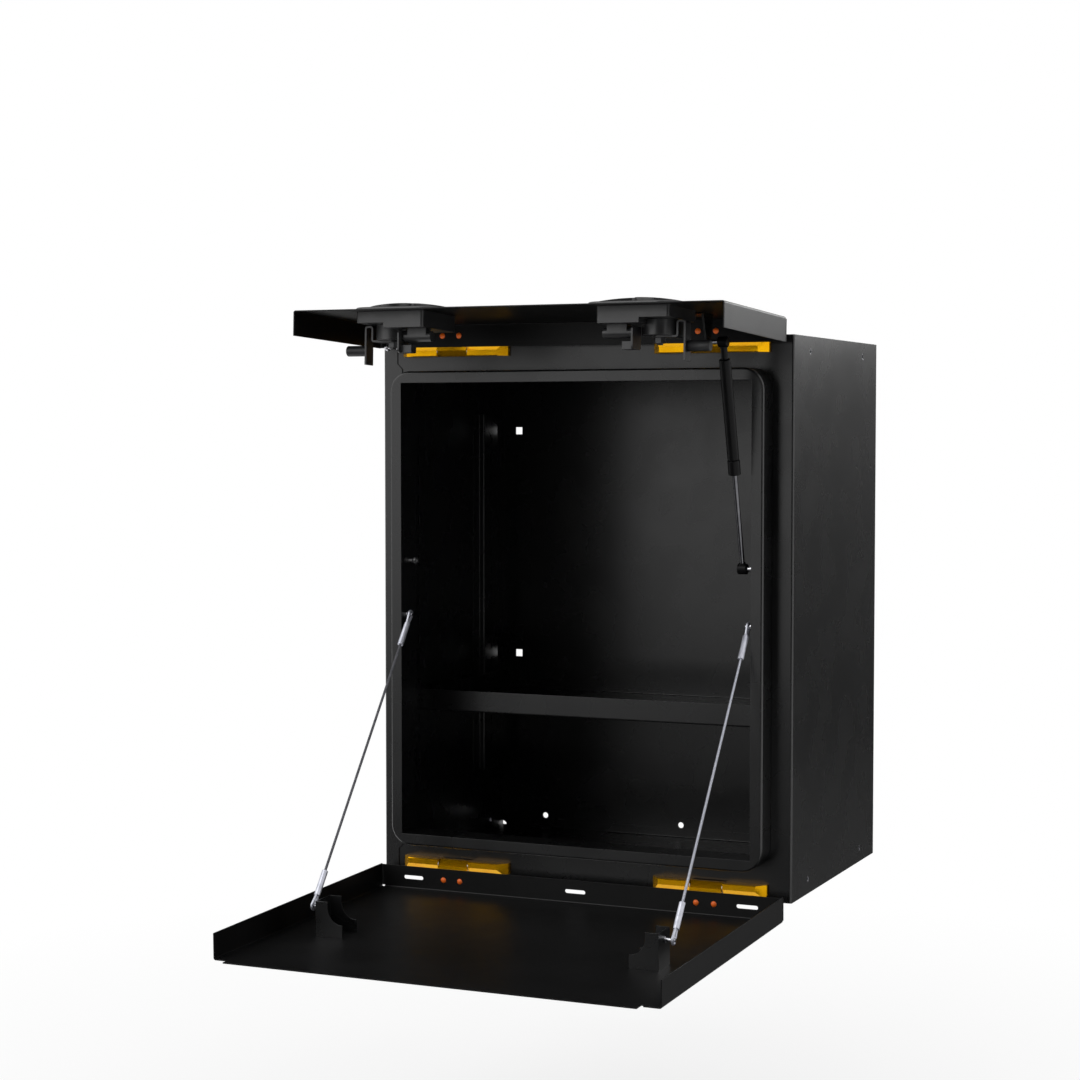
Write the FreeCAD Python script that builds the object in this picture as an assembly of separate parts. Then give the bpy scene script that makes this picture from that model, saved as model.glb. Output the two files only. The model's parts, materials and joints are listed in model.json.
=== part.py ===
import FreeCAD, Part
import os
from math import atan2, cos, degrees, pi, radians, sin, sqrt, tan

V = FreeCAD.Vector

# All lengths are millimetres. The model is drawn with X to the right, Y backwards from the
# cabinet's front face and Z up from its bottom, and each file is moved at the end so that
# the origin lies on the outside of the back, in the middle of the four square fixing holes.

# Cabinet shell of folded sheet
width = 600.0
depth = 395.0
height = 745.0
sheet = 1.5
bend = 3.0
front_flange_side = 28.7
flange_step_side = 21.3
flange_step_low = 30.7
flange_step_top = 31.7
rear_fold = 15.0
corner_relief = 7.0

# Box-section collar round the opening
collar_side = 29.0
collar_low = 43.5
collar_top = 43.0
collar_corner = 28.5
collar_out = 37.4
collar_wide = 16.5
collar_tall = 16.0
return_in = 8.5

# Holes in the back and sides
square_side = 11.0
square_edge = 30.0
square_low = 273.0
square_top = 125.0
round_hole_r = 4.5
round_hole_edge = 75.0
round_hole_z = 20.0
insert_bore_r = 3.0
insert_r = 4.2
insert_length = 12.0
insert_front = 72.5
insert_pitch = 250.0
insert_edge = 20.0

# Slotted uprights and tray shelf
upright_front = 84.0
upright_rear = 64.5
upright_wide = 90.0
upright_hat = 50.0
upright_deep = 10.0
upright_length = 545.0
upright_low = 100.0
upright_rivet_gap = 70.0
upright_rivet_rise = 397.0
slot_pitch = 28.7
slot_first = 118.8
slot_count = 18
slot_tall = 13.0
slot_wide = 5.0
rivet_head_r = 3.5
rivet_shank_r = 2.4
shelf_sheet = 1.2
shelf_gap = 1.0
shelf_front = 88.0
shelf_under = 217.3
shelf_lip = 30.0
shelf_back_lip = 7.0
shelf_back_gap = 1.0
hook_slot = 4

# Hinges
axis_out = 9.0
axis_rise = 15.0
knuckle_r = 7.5
hinge_side = 33.0
hinge_long = 160.0
knuckle_in = 56.5
knuckle_long = 45.5
washer_thick = 0.8
washer_r = 7.2
knuckle_gap = 0.1
pin_r = 3.0
running_gap = 0.05
hinge_base = 5.0
hinge_edge = 4.5
end_bevel = 12.5
bar_edge = 1.0
bar_corner = 7.0
knuckle_corner = 1.6
leaf_thick = 3.0
leaf_deep = 28.0
rivet_pitch = 25.0
rivet_in = 10.5
rivet_down = 20.0
hinge_rivet_r = 2.4
hinge_rivet_head_r = 4.0
hinge_rivet_head = 2.2

# Doors
door_edge = 5.0
skin_out = 36.7
door_start = 9.5
door_gap = 5.5
tongue_side = 24.0
tongue_long = 17.5
tongue_joggle = 2.1
tongue_lap = 6.0
tongue_notch = 1.2
upper_end = 253.0
lower_side_edge = 3.0
upper_side_edge = 4.0
door_bend = 3.0
relief_r = 2.6
relief_slit = 1.8
drain_side = 49.5
drain_long = 30.0
drain_wide = 5.4
lower_open = 91.2
upper_open = 92.06

# Lid stays
stay_side = 7.5
stay_pin_r = 2.5
stay_pin_out = 291.0
stay_top = (-24.4, 364.7)
stay_rope_r = 1.8
eye_r = 4.7
eye_long = 15.0
ferrule_r = 4.0
ferrule_long = 36.0
fit_gap = 0.3
bracket_in = 12.5
bracket_top_wide = 17.5
bracket_foot_wide = 38.5
bracket_rise = 10.8
bracket_curve = 21.0
bracket_curve_top = 2.6
bracket_pin_near = 21.0
bracket_pin_far = 17.5
pin_head_r = 3.8

# Gas strut and its ball studs
strut_side = 15.5
ball_r = 5.0
socket_r = 7.0
strut_top_out = 104.4
strut_top_down = 12.7
strut_low_out = 23.6
strut_over_stay = 75.2
tube_r = 7.5
tube_from = 22.3
tube_to = 155.6
gland_to = 175.0
gland_r = 8.0
rod_r = 3.25
socket_rise = 8.2
socket_neck_r = 4.5
stud_neck_r = 3.0
stud_base_r = 4.4
stud_base_long = 4.0
strut_leg_in = 19.5
strut_leg_thick = 2.0
strut_foot_wide = 23.5
strut_leg_near = 16.0
strut_leg_far = 23.0
strut_tip_r = 8.0

# Latches
latch_side = 109.0
spindle_s = 181.0
spindle_r = 6.0
stub_r = 4.0
latch_out = 37.5
latch_in = 84.0
latch_half_s = 52.0
latch_plate = 4.3
housing_out = 30.0
housing_in = 66.5
housing_step_in = 10.0
housing_half_s = 48.3
housing_shallow = 20.8
housing_deep = 14.3
housing_wall = 2.2
crown_top = 48.6
crown_r = 276.0
head_r = 32.0
tail_in = 82.0
tail_half = 31.0
neck_half = 10.0
drum_r = 22.4
drum_low = 1.2
cam_thick = 2.6
cam_half = 9.7
cam_leg_out = 36.0
cam_hook = 9.6
cam_leg_top = 20.0
cam_leg_tip = -30.5
roller_r = 7.0
roller_side = 1.5
roller_strut_gap = 0.6
roller_n = -12.0
nut_r = 7.4
nut_low = -8.4
lock_s = 201.0
lock_r = 7.0
lock_out = 28.0
lock_long = 38.5
lock_n = 4.0
lock_plate_thick = 2.5
lock_plate_half = 14.0
lock_plate_low = -17.0
lock_plate_high = 12.0
lock_foot_in = 12.0
grip_pivot_out = 4.0
grip_pivot_r = 2.3
grip_pin_r = 1.2
head_floor = 1.0
grip_lift = 0.2

# Derived places
half = width / 2
inner_half = half - sheet
axis_y = -axis_out
low_axis_z = axis_rise
high_axis_z = height - axis_rise

front_flange_in = half - front_flange_side
flange_step_in = half - flange_step_side
flange_step_high = height - flange_step_top
collar_half = half - collar_side
collar_high = height - collar_top
opening_half = collar_half - collar_wide
opening_low = collar_low + collar_tall
opening_high = collar_high - collar_tall

square_half_gap = half - square_edge
square_high = height - square_top
hole_centre_z = (square_low + square_high) / 2
round_hole_gap = half - round_hole_edge
upright_centres = (upright_front, depth - upright_rear)
upright_x = inner_half - upright_deep
upright_middle = upright_low + upright_length / 2
shelf_half = upright_x - shelf_gap
shelf_back = depth - sheet - shelf_back_gap

hinge_outer = half - hinge_side
hinge_inner = hinge_outer - hinge_long
knuckle_start = hinge_inner + knuckle_in
knuckle_end = knuckle_start + knuckle_long
rivet_first = knuckle_start + rivet_in

door_half = half - door_edge
tongue_half = door_half - tongue_side
lower_end = high_axis_z - low_axis_z - upper_end - door_gap
tongue_end = lower_end + tongue_long
drain_x = door_half - drain_side
slot_positions = (-drain_x, 0.0, drain_x)

stay_x = opening_half - stay_side
bracket_web_x = stay_x - bracket_in
bracket_top_x = bracket_web_x - bracket_top_wide
bracket_foot_x = bracket_web_x - bracket_foot_wide
bracket_near = stay_pin_out - bracket_pin_near
bracket_far = stay_pin_out + bracket_pin_far

ball_x = opening_half - strut_side
strut_top = (-strut_top_out, height - strut_top_down)
strut_low = (-strut_low_out, stay_top[1] + strut_over_stay)
strut_leg_x = ball_x - strut_leg_in
strut_foot_in = strut_leg_x - strut_foot_wide

spindle_x = door_half - latch_side
latch_out_x = spindle_x + latch_out
latch_in_x = spindle_x - latch_in
housing_out_x = spindle_x + housing_out
housing_in_x = spindle_x - housing_in
housing_step_x = spindle_x - housing_step_in
tail_x = spindle_x - tail_in
cam_leg_x = spindle_x + cam_leg_out
roller_out_x = opening_half - roller_side
lock_out_x = spindle_x - lock_out
lock_in_x = lock_out_x - lock_long
lock_plate_x = lock_out_x + lock_plate_thick
lock_foot_x = lock_out_x - lock_foot_in
grip_pivot_x = spindle_x + grip_pivot_out


def box(x0, x1, y0, y1, z0, z1):
    low = V(min(x0, x1), min(y0, y1), min(z0, z1))
    return Part.makeBox(abs(x1 - x0), abs(y1 - y0), abs(z1 - z0), low)


def rod(start, direction, radius, length):
    return Part.makeCylinder(radius, length, start, direction)


def ball(radius, centre):
    """A sphere whose seam faces backwards, clear of necks that leave it along X."""
    sphere = Part.makeSphere(radius, centre)
    sphere.rotate(centre, V(0, 0, 1), 90)
    return sphere


def join(shapes):
    whole = shapes[0]
    for shape in shapes[1:]:
        whole = whole.fuse(shape)
    return whole.removeSplitter()


def other_side(shape):
    return shape.mirror(V(0, 0, 0), V(1, 0, 0))


def pair(shape):
    return [shape, other_side(shape)]


def swing(shape, angle, axis_z):
    turned = shape.copy()
    turned.rotate(V(0, axis_y, axis_z), V(1, 0, 0), angle)
    return turned


def rounded_line(points, radii):
    """Edges along points, with each inner corner rounded to its radius."""
    edges = []
    start = points[0]
    for corner, after, radius in zip(points[1:-1], points[2:], radii):
        into = (corner - start).normalize()
        out = (after - corner).normalize()
        turn = into.getAngle(out)
        reach = radius * tan(turn / 2)
        first = corner - into * reach
        last = corner + out * reach
        inward = (out - into).normalize()
        middle = corner + inward * (radius / cos(turn / 2) - radius)
        edges.append(Part.makeLine(start, first))
        edges.append(Part.Arc(first, middle, last).toShape())
        start = last
    edges.append(Part.makeLine(start, points[-1]))
    return edges


def folded(points, thickness, radius, along):
    """Sheet folded along points, its thickness on the left of them, extruded by along."""
    normal = V(along).normalize()
    offset = []
    outer_radii = []
    inner_radii = []
    lines = [(b - a).normalize() for a, b in zip(points, points[1:])]
    for i, point in enumerate(points):
        before = lines[max(i - 1, 0)]
        after = lines[min(i, len(lines) - 1)]
        left = normal.cross(before)
        turn = degrees(before.getAngle(after))
        if turn < 0.01:
            offset.append(point + left * thickness)
            continue
        both = (left + normal.cross(after)).normalize()
        offset.append(point + both * (thickness / cos(radians(turn / 2))))
        turns_left = normal.dot(before.cross(after)) > 0
        outer_radii.append(radius if turns_left else radius - thickness)
        inner_radii.append(radius - thickness if turns_left else radius)
    edges = rounded_line(points, outer_radii)
    edges.append(Part.makeLine(points[-1], offset[-1]))
    edges += rounded_line(offset[::-1], inner_radii[::-1])
    edges.append(Part.makeLine(offset[0], points[0]))
    return Part.Face(Part.Wire(edges)).extrude(along)


def rounded_block(half_x, z0, z1, corner, y0, y1):
    block = box(-half_x, half_x, y0, y1, z0, z1)
    upright = [e for e in block.Edges if abs(e.BoundBox.YLength - abs(y1 - y0)) < 0.01]
    return block.makeFillet(corner, upright)


def edges_on_plane(shape, y):
    flat = []
    for edge in shape.Edges:
        if abs(edge.BoundBox.YMin - y) < 0.01 and abs(edge.BoundBox.YMax - y) < 0.01:
            flat.append(edge)
    return flat


# Side panels: one fold at the front makes the flange that laps over the front frame
def side_panel():
    outline = [V(front_flange_in, 0, 0), V(half, 0, 0), V(half, depth, 0)]
    panel = folded(outline, sheet, bend, V(0, 0, height))
    step = flange_step_in - front_flange_in
    for edge_z, end_z, sign in (
        (flange_step_high, height, 1),
        (flange_step_low, 0.0, -1),
    ):
        corners = [
            V(front_flange_in - 1, -1, edge_z - sign * (step + 1)),
            V(flange_step_in, -1, edge_z),
            V(flange_step_in, -1, end_z + sign),
            V(front_flange_in - 1, -1, end_z + sign),
        ]
        notch = Part.Face(Part.makePolygon(corners + corners[:1]))
        panel = panel.cut(notch.extrude(V(0, sheet + 1, 0)))
    for y in (insert_front, insert_front + insert_pitch):
        for z in (insert_edge, height - insert_edge):
            panel = panel.cut(rod(V(half + 1, y, z), V(-1, 0, 0), insert_r, sheet + 2))
    for y, z in rivet_places():
        panel = panel.cut(rod(V(half + 1, y, z), V(-1, 0, 0), rivet_head_r, sheet + 2))
    return panel


def rivet_places():
    places = []
    for centre in upright_centres:
        for side in (-1, 1):
            for level in (-1, 1):
                y = centre + side * upright_rivet_gap / 2
                places.append((y, upright_middle + level * upright_rivet_rise / 2))
    return places


def side_insert(y, z):
    flange = rod(V(half - 0.2, y, z), V(-1, 0, 0), insert_r, sheet - 0.2)
    barrel = rod(V(inner_half, y, z), V(-1, 0, 0), insert_r, insert_length)
    bore = rod(V(half + 1, y, z), V(-1, 0, 0), insert_bore_r, insert_length + sheet + 2)
    return join([flange, barrel]).cut(bore)


def side_inserts():
    inserts = []
    for y in (insert_front, insert_front + insert_pitch):
        for z in (insert_edge, height - insert_edge):
            inserts += pair(side_insert(y, z))
    return inserts


def upright_rivets():
    rivets = []
    for y, z in rivet_places():
        head = rod(V(inner_half, y, z), V(1, 0, 0), rivet_head_r, sheet - 0.2)
        shank = rod(V(inner_half - sheet, y, z), V(1, 0, 0), rivet_shank_r, sheet)
        tail = rod(V(inner_half - 2 * sheet, y, z), V(1, 0, 0), rivet_head_r, sheet)
        rivets += pair(join([head, shank, tail]))
    return rivets


# Top and bottom panels, folded at the back
def floor_panel():
    start = max(bend, 2 * sheet)
    back = depth - sheet
    outline = [V(0, start, 0), V(0, back, 0), V(0, back, rear_fold)]
    panel = folded(outline, sheet, bend, V(2 * inner_half, 0, 0))
    panel.translate(V(-inner_half, 0, 0))
    relief = box(inner_half - corner_relief, half, back - bend - sheet, back, sheet, 2 * rear_fold)
    for cut in pair(relief):
        panel = panel.cut(cut)
    return panel


def flip_upside_down(shape):
    return shape.mirror(V(0, 0, height / 2), V(0, 0, 1))


def back_panel():
    panel = box(-inner_half, inner_half, depth - sheet, depth, 0, height)
    for x in (-square_half_gap, square_half_gap):
        for z in (square_low, square_high):
            r = square_side / 2
            panel = panel.cut(box(x - r, x + r, depth - 2 * sheet, depth + 1, z - r, z + r))
    for x in (-round_hole_gap, 0.0, round_hole_gap):
        start = V(x, depth - 2 * sheet, round_hole_z)
        panel = panel.cut(rod(start, V(0, 1, 0), round_hole_r, 3 * sheet))
    for x in (-inner_half, inner_half):
        for z in (0.0, height):
            start = V(x, depth - 2 * sheet, z)
            panel = panel.cut(rod(start, V(0, 1, 0), corner_relief, 3 * sheet))
    return panel


# Front frame with its box-section collar
def front_frame():
    plate = box(bend - half, half - bend, sheet, 2 * sheet, 0, height)
    collar = rounded_block(
        collar_half, collar_low, collar_high, collar_corner, -collar_out, 2 * sheet
    )
    collar = collar.makeFillet(bend, edges_on_plane(collar, -collar_out))
    hollow = rounded_block(
        collar_half - sheet,
        collar_low + sheet,
        collar_high - sheet,
        collar_corner - sheet,
        sheet - collar_out,
        return_in + 1,
    )
    hollow = hollow.makeFillet(bend - sheet, edges_on_plane(hollow, sheet - collar_out))
    inner = box(
        -opening_half - sheet,
        opening_half + sheet,
        -collar_out,
        return_in,
        opening_low - sheet,
        opening_high + sheet,
    )
    opening = box(
        -opening_half,
        opening_half,
        -collar_out - 1,
        return_in + 1,
        opening_low,
        opening_high,
    )
    return plate.fuse(collar).cut(hollow).fuse(inner).cut(opening).removeSplitter()


# Slotted uprights: a hat section with a row of slots for the shelf's hooks
def upright(centre):
    back = inner_half
    face = upright_x
    steps = [
        (back - sheet, -upright_wide / 2),
        (back - sheet, -upright_hat / 2),
        (face, -upright_hat / 2),
        (face, upright_hat / 2),
        (back - sheet, upright_hat / 2),
        (back - sheet, upright_wide / 2),
    ]
    outline = [V(x, centre + y, upright_low) for x, y in steps]
    strip = folded(outline[::-1], sheet, bend, V(0, 0, upright_length))
    for i in range(slot_count):
        z = slot_first + i * slot_pitch
        y = centre - slot_wide / 2
        strip = strip.cut(
            box(face - 1, face + sheet + 1, y, y + slot_wide, z - slot_tall / 2, z + slot_tall / 2)
        )
    for y, z in rivet_places():
        if abs(y - centre) < upright_wide / 2:
            strip = strip.cut(rod(V(back + 1, y, z), V(-1, 0, 0), rivet_shank_r, sheet + 2))
    return strip


# Tray shelf: a floor with a tall front lip, sides that carry the hooks and a low back lip
def shelf():
    t = shelf_sheet
    top = shelf_under + shelf_lip
    outside = box(-shelf_half, shelf_half, shelf_front, shelf_back, shelf_under, top)
    below = [e for e in outside.Edges if e.BoundBox.ZMax < shelf_under + 0.01]
    outside = outside.makeFillet(2 * t, below)
    inside = box(
        t - shelf_half, shelf_half - t, shelf_front + t, shelf_back - t, shelf_under + t, top + 5
    )
    below = [e for e in inside.Edges if e.BoundBox.ZMax < shelf_under + t + 0.01]
    tray = outside.cut(inside.makeFillet(t, below))
    back_top = shelf_under + shelf_back_lip
    behind = box(
        -shelf_half - 1, shelf_half + 1, shelf_back - 2 * t, shelf_back + 1, back_top, top + 1
    )
    tray = tray.cut(behind)
    return tray


def shelf_hooks():
    hooks = []
    z = slot_first + hook_slot * slot_pitch
    for centre in upright_centres:
        outline = [
            V(shelf_half, 0, z - 1),
            V(upright_x + sheet + 1, 0, z - 1),
            V(upright_x + sheet + 1, 0, z - slot_tall),
            V(upright_x + sheet + 3.5, 0, z - slot_tall),
            V(upright_x + sheet + 3.5, 0, z + 4),
            V(shelf_half, 0, z + 4),
        ]
        hook = Part.Face(Part.makePolygon(outline + outline[:1])).extrude(V(0, sheet, 0))
        hook.translate(V(0, centre - sheet / 2, 0))
        hooks += pair(hook)
    return hooks


# Hinges: block knuckles on the cabinet, a knuckle with a leaf on the door, pin and washers
def prism_along_x(outline, x0, x1):
    """A prism between x0 and x1 over an outline of (y, z) places round the hinge axis."""
    corners = [V(x0, axis_y + y, axis_rise + z) for y, z in outline]
    return Part.Face(Part.makePolygon(corners + corners[:1])).extrude(V(x1 - x0, 0, 0))


def hinge_block(x0, x1, sloped_end):
    """A square bar with its lower front corner cut off and one end sloped back."""
    r = knuckle_r
    back = axis_out + sheet
    outline = [
        (back, -r),
        (back, r),
        (bar_edge - r, r),
        (-r, r - bar_edge),
        (-r, bar_corner - r),
        (bar_corner - r, -r),
    ]
    block = prism_along_x(outline, x0, x1)
    front = -axis_out - r - 1
    base = sheet - hinge_base
    sign = 1 if sloped_end == x0 else -1
    corners = [
        V(sloped_end - sign, base, 0),
        V(sloped_end, base, 0),
        V(sloped_end + sign * end_bevel, front, 0),
        V(sloped_end - sign, front, 0),
    ]
    wedge = Part.Face(Part.makePolygon(corners + corners[:1])).extrude(V(0, 0, height))
    bore_start = x0 + end_bevel if sign == 1 else x0 - 1
    bore_end = x1 + 1 if sign == 1 else x1 - end_bevel
    bore = rod(V(bore_start, axis_y, axis_rise), V(1, 0, 0), pin_r, bore_end - bore_start)
    return block.cut(wedge).cut(bore)


def hinge_blocks():
    gap = washer_thick / 2
    inner = hinge_block(hinge_inner, knuckle_start - gap, hinge_inner)
    outer = hinge_block(knuckle_end + gap, hinge_outer, hinge_outer)
    return pair(inner) + pair(outer)


def door_knuckle():
    """The moving knuckle of a lower hinge, drawn with its door closed."""
    gap = washer_thick / 2 + knuckle_gap
    x0 = knuckle_start + gap
    x1 = knuckle_end - gap
    r = knuckle_r
    outline = [
        (r, 0),
        (r, knuckle_corner - r),
        (r - knuckle_corner, -r),
        (-r, -r),
        (-r, door_start),
        (0, door_start),
        (0, r),
    ]
    bar = prism_along_x(outline, x0, x1)
    top = axis_rise + door_start
    leaf = box(x0, x1, axis_y - leaf_deep, axis_y, top - leaf_thick, top)
    knuckle = join([bar, leaf])
    bore = rod(V(x0 - 1, axis_y, axis_rise), V(1, 0, 0), pin_r + running_gap, x1 - x0 + 2)
    knuckle = knuckle.cut(bore)
    for x in rivet_xs():
        knuckle = knuckle.cut(
            rod(V(x, axis_y - rivet_down, axis_rise), V(0, 0, 1), hinge_rivet_r, 2 * door_start)
        )
    return pair(knuckle)


def rivet_xs():
    return (rivet_first, rivet_first + rivet_pitch)


def hinge_pins():
    start = V(hinge_inner + end_bevel, axis_y, axis_rise)
    long = hinge_outer - hinge_inner - 2 * end_bevel
    return pair(rod(start, V(1, 0, 0), pin_r, long))


def hinge_washers():
    washers = []
    for x in (knuckle_start, knuckle_end):
        start = V(x - washer_thick / 2, axis_y, axis_rise)
        washer = rod(start, V(1, 0, 0), washer_r, washer_thick)
        washers += pair(washer.cut(rod(start, V(1, 0, 0), pin_r, washer_thick)))
    return washers


def hinge_rivets():
    """Rivets through the lower door's hinge flange and leaf, drawn with the door closed."""
    rivets = []
    under = axis_rise + door_start - leaf_thick
    over = axis_rise + door_start + sheet
    for x in rivet_xs():
        y = axis_y - rivet_down
        shank = rod(V(x, y, under), V(0, 0, 1), hinge_rivet_r, over - under)
        ball_radius = (hinge_rivet_head_r ** 2 + hinge_rivet_head ** 2) / (2 * hinge_rivet_head)
        dome = Part.makeSphere(ball_radius, V(x, y, over + hinge_rivet_head - ball_radius))
        slab = rod(V(x, y, over), V(0, 0, 1), hinge_rivet_head_r + 1, hinge_rivet_head + 1)
        rivets += pair(join([shank, dome.common(slab)]))
    return rivets


# Door pans, drawn as the lower door closed: s runs up from the hinge axis, d runs outwards
def door_pan(end, side_edge):
    skin_y = axis_y - skin_out
    z0 = axis_rise + door_start
    z1 = axis_rise + end
    outside = box(-door_half, door_half, skin_y, axis_y, z0, z1)
    folds = [e for e in edges_on_plane(outside, skin_y) if e.BoundBox.ZMin < z1 - 0.01]
    folds = [e for e in folds if not e.BoundBox.ZMin > z0 + 0.01]
    outside = outside.makeFillet(door_bend, folds)
    t = sheet
    inside = box(t - door_half, door_half - t, skin_y + t, axis_y + 1, z0 + t, z1 + 5)
    folds = [e for e in edges_on_plane(inside, skin_y + t) if e.BoundBox.ZMin < z0 + t + 0.01]
    pan = outside.cut(inside.makeFillet(door_bend - t, folds))
    trim = box(door_half - 2 * t, door_half + 1, axis_y - side_edge, axis_y + 1, z0 - 1, z1 + 1)
    corner = V(door_half - t, skin_y + t, z0 + t)
    relief = rod(V(corner.x, skin_y - 1, corner.z), V(0, 1, 0), relief_r, door_bend + 1)
    slit_z = z0 + t
    slit = box(door_half - 2 * t, door_half + 1, skin_y, axis_y + 1, slit_z, slit_z + relief_slit)
    edge = box(-door_half, door_half, axis_y - hinge_edge, axis_y + 1, z0 - 1, z0 + 2 * t)
    for cut in pair(trim) + pair(relief) + pair(slit) + [edge]:
        pan = pan.cut(cut)
    for x in rivet_xs():
        hole = rod(V(x, axis_y - rivet_down, z0 - 1), V(0, 0, 1), hinge_rivet_r, 3 * t)
        for cut in pair(hole):
            pan = pan.cut(cut)
    return pan


def lower_door_pan():
    pan = door_pan(lower_end, lower_side_edge)
    inner_y = axis_y - skin_out
    z1 = axis_rise + lower_end
    outline = [
        V(-tongue_half, inner_y, z1 - tongue_lap),
        V(-tongue_half, inner_y, z1 - 4),
        V(-tongue_half, inner_y + tongue_joggle, z1 + 1),
        V(-tongue_half, inner_y + tongue_joggle, axis_rise + tongue_end),
    ]
    tongue = folded(outline[::-1], sheet, sheet + 0.5, V(2 * tongue_half, 0, 0))
    notch = tongue_half + tongue_notch
    clear = box(-notch, notch, inner_y - 1, inner_y + 2 * sheet, z1 - tongue_lap, z1 + 1)
    pan = pan.cut(clear).fuse(tongue).removeSplitter()
    z0 = axis_rise + door_start - 1
    for x in slot_positions:
        y = axis_y - rivet_down
        r = drain_wide / 2
        reach = drain_long / 2 - r
        slot = box(x - reach, x + reach, y - r, y + r, z0, z0 + 3 * sheet)
        for end in (x - reach, x + reach):
            slot = slot.fuse(rod(V(end, y, z0), V(0, 0, 1), r, 3 * sheet))
        pan = pan.cut(slot)
    return pan


def upper_door_pan():
    """The upper door's pan, drawn closed: the same pan upside down, with holes for latches."""
    pan = flip_upside_down(door_pan(upper_end, upper_side_edge))
    z = high_axis_z - spindle_s
    hole = box(
        housing_in_x, housing_out_x, axis_y - skin_out - 1, axis_y - housing_shallow,
        z - housing_half_s, z + housing_half_s,
    )
    for cut in pair(hole):
        pan = pan.cut(cut)
    return pan


# Stay brackets and pins on the lower door, drawn with the door closed
def stay_bracket():
    skin = axis_y - skin_out + sheet
    top = axis_y + bracket_rise
    z0 = axis_rise + bracket_near
    z1 = axis_rise + bracket_far
    web = box(bracket_web_x - sheet, bracket_web_x, skin, top, z0, z1)
    web = web.cut(
        rod(V(bracket_web_x + 1, axis_y, axis_rise + stay_pin_out), V(-1, 0, 0), stay_pin_r, 9)
    )
    curve_y = axis_y + bracket_curve_top
    low_y = curve_y - bracket_curve
    mid = bracket_curve * (1 - sqrt(0.5))
    edges = [
        Part.makeLine(V(bracket_web_x, skin, 0), V(bracket_web_x, top, 0)),
        Part.makeLine(V(bracket_web_x, top, 0), V(bracket_top_x, top, 0)),
        Part.makeLine(V(bracket_top_x, top, 0), V(bracket_top_x, curve_y, 0)),
        Part.Arc(
            V(bracket_top_x, curve_y, 0),
            V(bracket_top_x - mid, low_y + mid, 0),
            V(bracket_top_x - bracket_curve, low_y, 0),
        ).toShape(),
        Part.makeLine(V(bracket_top_x - bracket_curve, low_y, 0), V(bracket_foot_x, skin, 0)),
        Part.makeLine(V(bracket_foot_x, skin, 0), V(bracket_web_x, skin, 0)),
    ]
    gusset = Part.Face(Part.Wire(edges)).extrude(V(0, 0, sheet))
    near = gusset.copy()
    near.translate(V(0, 0, z0))
    far = gusset.copy()
    far.translate(V(0, 0, z1 - sheet))
    return join([web, near, far])


def stay_pin():
    z = axis_rise + stay_pin_out
    shank = rod(V(bracket_web_x - sheet, axis_y, z), V(1, 0, 0), stay_pin_r, stay_x + 4.5 - bracket_web_x)
    tail = rod(V(bracket_web_x - 2 * sheet, axis_y, z), V(1, 0, 0), pin_head_r, sheet)
    collar = rod(V(bracket_web_x, axis_y, z), V(1, 0, 0), pin_head_r, 3.0)
    return join([shank, tail, collar])


def stay_stud():
    y, z = stay_top
    long = opening_half - stay_x + 3.5
    shank = rod(V(opening_half, y, z), V(-1, 0, 0), stay_pin_r, long)
    collar = rod(V(opening_half, y, z), V(-1, 0, 0), stud_base_r, stud_base_long)
    return join([shank, collar])


# Stay rope: an eye round each pin, a pressed ferrule on each eye and the rope between them
def rope_line():
    """Pin centres at the two ends of the taut rope, with the lower door open."""
    closed = V(stay_x, axis_y, axis_rise + stay_pin_out)
    turn = radians(lower_open)
    y = closed.y - axis_y
    z = closed.z - axis_rise
    low = V(
        stay_x, axis_y + y * cos(turn) - z * sin(turn), axis_rise + y * sin(turn) + z * cos(turn)
    )
    return low, V(stay_x, stay_top[0], stay_top[1])


def stay_end(pin, towards):
    along = (towards - pin).normalize()
    across = V(1, 0, 0).cross(along)
    mouth = pin + along * eye_long
    leg = stay_rope_r + 0.1
    lean = atan2(eye_r - leg, eye_long)
    touch = pi / 2 - lean
    first = pin + across * (eye_r * sin(touch)) + along * (eye_r * cos(touch))
    last = pin - across * (eye_r * sin(touch)) + along * (eye_r * cos(touch))
    back = pin - along * eye_r
    left = pin + across * eye_r
    right = pin - across * eye_r
    edges = [
        Part.makeLine(mouth + across * leg, first),
        Part.Arc(first, (first + left - pin - pin).normalize() * eye_r + pin, left).toShape(),
        Part.Arc(left, (across - along).normalize() * eye_r + pin, back).toShape(),
        Part.Arc(back, (V(0, 0, 0) - across - along).normalize() * eye_r + pin, right).toShape(),
        Part.Arc(right, (last + right - pin - pin).normalize() * eye_r + pin, last).toShape(),
        Part.makeLine(last, mouth - across * leg),
    ]
    path = Part.Wire(edges)
    start = mouth + across * leg
    ring = Part.Wire(Part.makeCircle(stay_rope_r, start, (first - start).normalize()))
    loop = path.makePipeShell([ring], True, False)
    ferrule = rod(mouth - along * 0.6, along, ferrule_r, ferrule_long)
    ends = [e for e in ferrule.Edges if e.Closed and e.Curve.TypeId == "Part::GeomCircle"]
    ferrule = ferrule.makeFillet(0.8, ends)
    return join([loop, ferrule])


def stay_rope():
    low, top = rope_line()
    along = (top - low).normalize()
    trim = eye_long + ferrule_long - 0.6 + fit_gap
    return rod(low + along * trim, along, stay_rope_r, (top - low).Length - 2 * trim)


# Gas strut, drawn in place with the upper door open
def strut_frame():
    top = V(ball_x, strut_top[0], strut_top[1])
    low = V(ball_x, strut_low[0], strut_low[1])
    return top, low, (low - top).normalize()


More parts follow.
